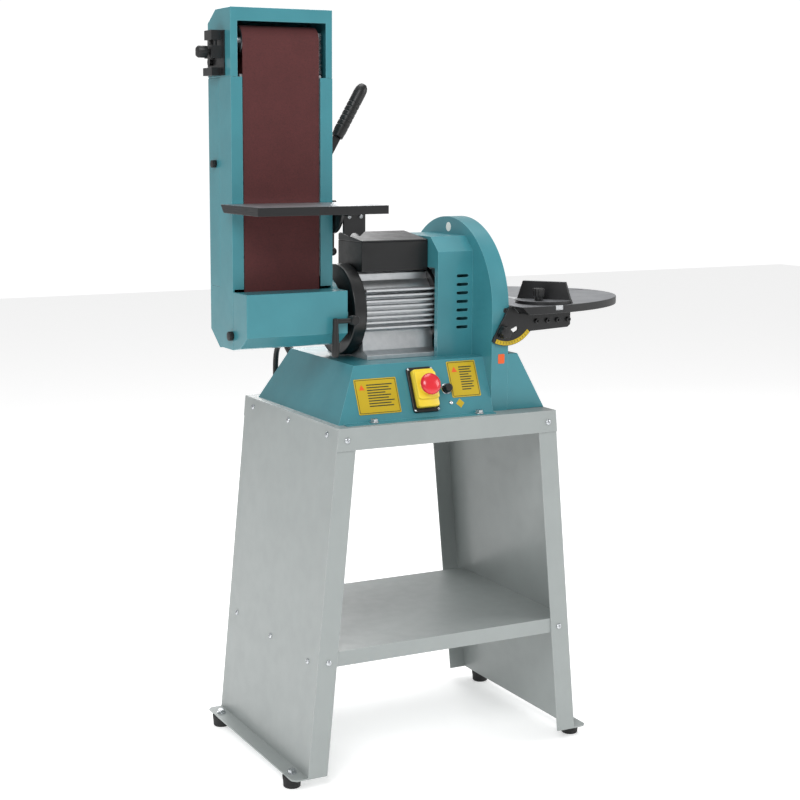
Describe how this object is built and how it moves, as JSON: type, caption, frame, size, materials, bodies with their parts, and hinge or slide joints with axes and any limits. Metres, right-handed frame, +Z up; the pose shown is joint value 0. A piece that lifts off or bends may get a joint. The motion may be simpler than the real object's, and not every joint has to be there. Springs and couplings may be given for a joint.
{
  "type": "belt disc sander",
  "caption": "Floor-standing sander with a tall tilting abrasive belt and a sanding disc with a tilting table and mitre gauge, on a sheet-steel stand.",
  "frame": {"origin": "on the floor under the middle of the outline without its mains cord, from the tracking knob to the disc table's outer edge and from the belt table's front to the disc dust port's back", "axes": "+X along the motor shaft towards the sanding disc, +Y to the back, +Z up"},
  "size_m": [0.89, 0.623, 1.406],
  "materials": {
    "stand_enamel": "grey enamelled sheet steel, satin",
    "teal_enamel": "teal enamelled sheet steel, semi-gloss",
    "black_enamel": "black enamelled casting, satin",
    "bare_aluminium": "die-cast aluminium, fine blast",
    "ground_iron": "ground cast iron with black painted edges",
    "zinc_steel": "bright zinc-plated steel",
    "turned_steel": "turned steel",
    "abrasive": "aluminium-oxide grit on cloth, dark red-brown",
    "black_rubber": "moulded rubber",
    "black_plastic": "moulded plastic, fine texture",
    "yellow_plastic": "moulded plastic",
    "red_plastic": "moulded plastic",
    "label_film": "printed film, no lettering",
    "copper_winding": "enamelled copper and steel laminations",
    "cord_pvc": "PVC sheath, satin"
  },
  "bodies": {
    "machine": {"stand_left_panel": "stand_enamel", "stand_right_panel": "stand_enamel", "stand_top": "stand_enamel", "stand_shelf": "stand_enamel", "rubber_feet": "black_rubber", "hex_bolts": "zinc_steel", "stand_screws": "zinc_steel", "machine_base": "teal_enamel", "label_plates": "label_film", "switch_box": "yellow_plastic", "motor_body": "bare_aluminium", "pivot_end_shield": "black_enamel", "fan_end_shield": "black_enamel", "stator": "copper_winding", "bearings": "turned_steel", "terminal_box": "black_enamel", "terminal_box_lid": "black_enamel", "motor_shroud": "teal_enamel", "disc_housing": "teal_enamel", "dust_chute": "teal_enamel", "disc_dust_port": "black_plastic", "cord_gland": "cord_pvc", "power_cord": "cord_pvc", "cord_coil": "cord_pvc", "power_plug": "cord_pvc"},
    "rotor": {"motor_shaft": "turned_steel", "rotor_core": "copper_winding", "cooling_fan": "black_plastic", "disc_plate": "bare_aluminium", "sanding_disc": "abrasive", "drive_drum": "black_rubber"},
    "belt_arm": {"arm_frame": "teal_enamel", "platen": "turned_steel", "sanding_belt": "abrasive", "rear_cover": "teal_enamel", "cover_knobs": "black_plastic", "top_cap": "teal_enamel", "lower_hood": "teal_enamel", "belt_dust_port": "black_plastic", "tracking_bracket": "black_enamel", "tension_base": "black_enamel", "tension_spring": "zinc_steel"},
    "carriage": {"idler_carriage": "turned_steel"},
    "idler": {"idler_roller": "turned_steel"},
    "tension_handle": {"tension_lever": "black_enamel", "lever_grip": "black_rubber"},
    "tracking_screw": {"tracking_knob": "black_plastic"},
    "clamp_lever": {"arm_clamp_lever": "black_plastic"},
    "belt_rest": {"belt_table": "ground_iron", "belt_table_bracket": "black_enamel"},
    "belt_rest_lock": {"belt_table_lock": "black_plastic"},
    "disc_rest": {"disc_table": "ground_iron", "table_trunnions": "black_enamel", "tilt_scale": "label_film"},
    "disc_rest_lock": {"table_lock_knob": "black_plastic"},
    "mitre_slide": {"mitre_bar": "bare_aluminium"},
    "mitre_gauge": {"mitre_head": "ground_iron"},
    "mitre_clamp": {"mitre_knob": "black_plastic"},
    "stop": {"stop_button": "red_plastic"},
    "reset": {"reset_button": "black_plastic"}
  },
  "joints": [
    {"name": "motor_spin", "type": "hinge", "parent": "machine", "child": "rotor", "pos_m": [-0.035, 0, 0.856], "axis": [1, 0, 0], "continuous": true},
    {"name": "arm_tilt", "type": "hinge", "parent": "machine", "child": "belt_arm", "pos_m": [-0.185, 0, 0.856], "axis": [-1, 0, 0], "range_deg": [0, 90]},
    {"name": "tension_release", "type": "hinge", "parent": "belt_arm", "child": "tension_handle", "pos_m": [-0.19, 0.048, 1.095], "axis": [0, 1, 0], "range_deg": [0, 60]},
    {"name": "idler_travel", "type": "slide", "parent": "belt_arm", "child": "carriage", "axis": [0, 0, 1], "range_m": [-0.012, 0], "deforming": ["tension_spring"]},
    {"name": "idler_spin", "type": "hinge", "parent": "carriage", "child": "idler", "pos_m": [-0.3, -0.023, 1.35], "axis": [1, 0, 0], "continuous": true},
    {"name": "tracking_turn", "type": "hinge", "parent": "belt_arm", "child": "tracking_screw", "pos_m": [-0.425, -0.008, 1.329], "axis": [-1, 0, 0], "range_deg": [-180, 180]},
    {"name": "arm_clamp", "type": "hinge", "parent": "belt_arm", "child": "clamp_lever", "pos_m": [-0.192, -0.1, 0.849], "axis": [0, 1, 0], "range_deg": [-60, 90]},
    {"name": "belt_table_tilt", "type": "hinge", "parent": "belt_arm", "child": "belt_rest", "pos_m": [-0.193, -0.038, 1.05], "axis": [1, 0, 0], "range_deg": [0, 45]},
    {"name": "belt_table_clamp", "type": "hinge", "parent": "belt_arm", "child": "belt_rest_lock", "pos_m": [-0.185, -0.01743, 1.02549], "axis": [1, 0, 0], "range_deg": [0, 60]},
    {"name": "disc_table_tilt", "type": "hinge", "parent": "machine", "child": "disc_rest", "pos_m": [0.105, 0, 0.857], "axis": [0, 1, 0], "range_deg": [0, 45]},
    {"name": "disc_table_clamp", "type": "hinge", "parent": "machine", "child": "disc_rest_lock", "pos_m": [0.09465, -0.185, 0.81836], "axis": [0, -1, 0], "range_deg": [-90, 90]},
    {"name": "mitre_travel", "type": "slide", "parent": "disc_rest", "child": "mitre_slide", "axis": [0, 1, 0], "range_m": [-0.04, 0.25]},
    {"name": "mitre_swivel", "type": "hinge", "parent": "mitre_slide", "child": "mitre_gauge", "pos_m": [0.2025, -0.15, 0.866], "axis": [0, 0, 1], "range_deg": [-10, 110]},
    {"name": "mitre_clamp_turn", "type": "hinge", "parent": "mitre_gauge", "child": "mitre_clamp", "pos_m": [0.17952, -0.16928, 0.89], "axis": [0, 0, 1], "range_deg": [-90, 90]},
    {"name": "stop_press", "type": "slide", "parent": "machine", "child": "stop", "axis": [0, 0.9187, -0.395], "range_m": [0, 0.005], "stiffness_N_per_m": 400, "springref_m": -0.003},
    {"name": "reset_press", "type": "slide", "parent": "machine", "child": "reset", "axis": [0, 0.9187, -0.395], "range_m": [0, 0.003], "stiffness_N_per_m": 300, "springref_m": -0.003}
  ],
  "couplings": [
    {"joint": "idler_spin", "follows": "motor_spin", "ratio": 1.92},
    {"joint": "idler_travel", "follows": "tension_release", "m_per_rad": -0.011459}
  ]
}
